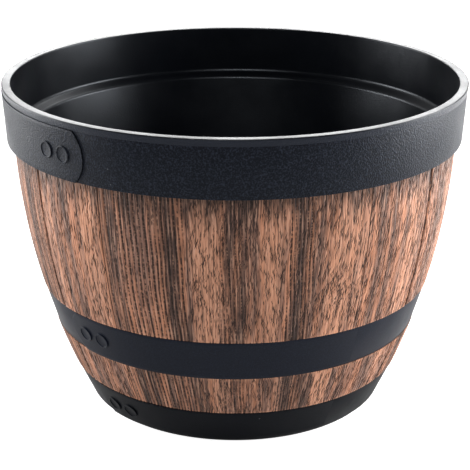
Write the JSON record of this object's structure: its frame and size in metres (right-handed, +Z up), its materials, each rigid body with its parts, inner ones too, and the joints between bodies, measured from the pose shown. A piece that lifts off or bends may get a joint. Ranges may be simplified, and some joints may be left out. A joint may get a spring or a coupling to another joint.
{
  "type": "barrel planter",
  "caption": "Half-barrel planter: curved wood-grain staves held by riveted black hoops, a bevelled bottom head, and a loose black liner with a rolled lip and drain holes.",
  "frame": {"origin": "centre of the foot, on the ground", "axes": "+Z up along the tub's axis; -Y is the front, the side that the picture shows; the hoops' laps lie at the front left"},
  "size_m": [0.23, 0.23, 0.165],
  "materials": {
    "stave_wood": "brown stain with dark grey streaks over embossed grain, satin clear coat",
    "head_wood": "dark stain, matte",
    "rim_hoop_enamel": "blue-black with a fine pebbled grain, satin",
    "hoop_enamel": "smooth blue-black, satin",
    "rivet_enamel": "smooth blue-black, satin, worn at the rims",
    "liner_black": "smooth black, satin wall and glossy lip"
  },
  "bodies": {
    "barrel": {"stave_01": "stave_wood", "stave_02": "stave_wood", "stave_03": "stave_wood", "stave_04": "stave_wood", "stave_05": "stave_wood", "stave_06": "stave_wood", "stave_07": "stave_wood", "stave_08": "stave_wood", "stave_09": "stave_wood", "stave_10": "stave_wood", "stave_11": "stave_wood", "stave_12": "stave_wood", "stave_13": "stave_wood", "stave_14": "stave_wood", "stave_15": "stave_wood", "stave_16": "stave_wood", "bottom_head": "head_wood", "rim_hoop": "rim_hoop_enamel", "middle_hoop": "hoop_enamel", "base_hoop": "hoop_enamel", "rim_hoop_rivets": "rivet_enamel", "middle_hoop_rivets": "rivet_enamel", "base_hoop_rivets": "rivet_enamel"},
    "liner": {"liner": "liner_black"}
  },
  "joints": [
    {"name": "liner_lift", "type": "slide", "parent": "barrel", "child": "liner", "axis": [0, 0, 1], "range_m": [0, 0.15]}
  ]
}
